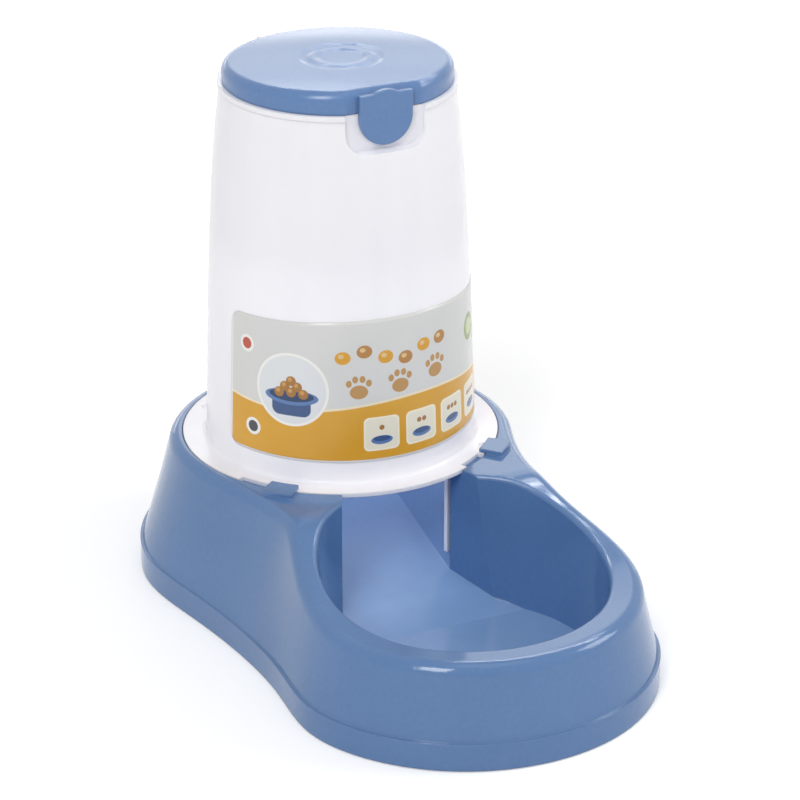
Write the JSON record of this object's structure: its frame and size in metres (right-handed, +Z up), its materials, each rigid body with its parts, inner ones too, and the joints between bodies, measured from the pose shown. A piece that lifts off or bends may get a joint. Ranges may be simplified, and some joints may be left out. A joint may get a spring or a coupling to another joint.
{
  "type": "gravity pet feeder",
  "caption": "Figure-eight feeder base with an open bowl, a tapered upright dry-food tank locked in its collar by a short twist of its flange, and a hinged cap with a pull tab.",
  "frame": {"origin": "on the floor under the middle of the base's length and width", "axes": "+Z up along the tank, -Y towards the bowl, +X to the right of someone who stands at the bowl end and looks at the tank"},
  "size_m": [0.1836, 0.303, 0.2424],
  "materials": {
    "blue_plastic": "satin moulded polypropylene",
    "milky_plastic": "milky moulded polypropylene",
    "printed_film": "printed adhesive film",
    "foot_rubber": "matt"
  },
  "bodies": {
    "base": {"base_shell": "blue_plastic", "foot_front_left": "foot_rubber", "foot_front_right": "foot_rubber", "foot_rear_left": "foot_rubber", "foot_rear_right": "foot_rubber"},
    "tank_body": {"tank": "milky_plastic", "label": "printed_film"},
    "lid_body": {"lid": "blue_plastic"}
  },
  "joints": [
    {"name": "tank_twist", "type": "hinge", "parent": "base", "child": "tank_body", "pos_m": [0, 0.0595, 0], "axis": [0, 0, 1], "range_deg": [0, 12]},
    {"name": "lid_hinge", "type": "hinge", "parent": "tank_body", "child": "lid_body", "pos_m": [0, 0.1149, 0.2316], "axis": [-1, 0, 0], "range_deg": [0, 110]}
  ]
}
